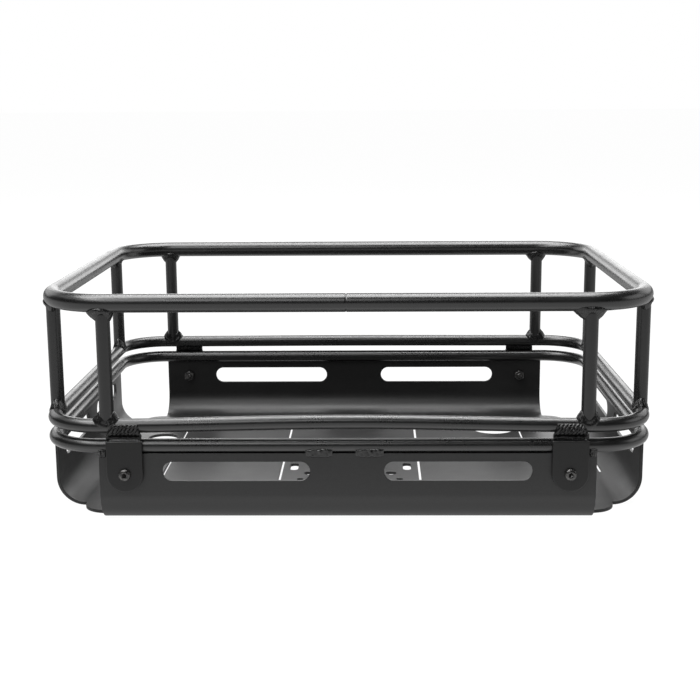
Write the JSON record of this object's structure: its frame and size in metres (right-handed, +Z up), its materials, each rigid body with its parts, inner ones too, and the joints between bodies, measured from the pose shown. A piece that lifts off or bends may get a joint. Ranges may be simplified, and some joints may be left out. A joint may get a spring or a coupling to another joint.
{
  "type": "roof cargo basket",
  "caption": "Black powder-coated cargo basket: a slotted folded-sheet tray with a welded round-tube fence bolted to it by hanging tabs.",
  "frame": {"origin": "middle of the tray's underside, on the surface that it stands on", "axes": "+Z up, +X to the right along the basket's length, -Y towards the front with the two bolting tabs that the picture shows"},
  "size_m": [0.54, 0.4142, 0.202],
  "materials": {
    "tray_coat": "satin black powder coat with a fine texture",
    "rail_coat": "semi-gloss black powder coat",
    "post_coat": "semi-gloss black powder coat",
    "tab_coat": "satin black powder coat",
    "screw_finish": "black oxide on alloy steel",
    "nut_finish": "dark zinc on steel"
  },
  "bodies": {
    "root": {"tray_sheet": "tray_coat", "rim_rail": "rail_coat", "mid_rail": "rail_coat", "top_rail": "rail_coat", "post_front_left": "post_coat", "post_front_right": "post_coat", "post_back_left": "post_coat", "post_back_right": "post_coat", "post_left_front": "post_coat", "post_left_back": "post_coat", "post_right_front": "post_coat", "post_right_back": "post_coat", "tab_front_left": "tab_coat", "tab_front_right": "tab_coat", "tab_back_left": "tab_coat", "tab_back_right": "tab_coat", "screw_front_left": "screw_finish", "screw_front_right": "screw_finish", "screw_back_left": "screw_finish", "screw_back_right": "screw_finish", "nut_front_left": "nut_finish", "nut_front_right": "nut_finish", "nut_back_left": "nut_finish", "nut_back_right": "nut_finish"}
  },
  "joints": []
}
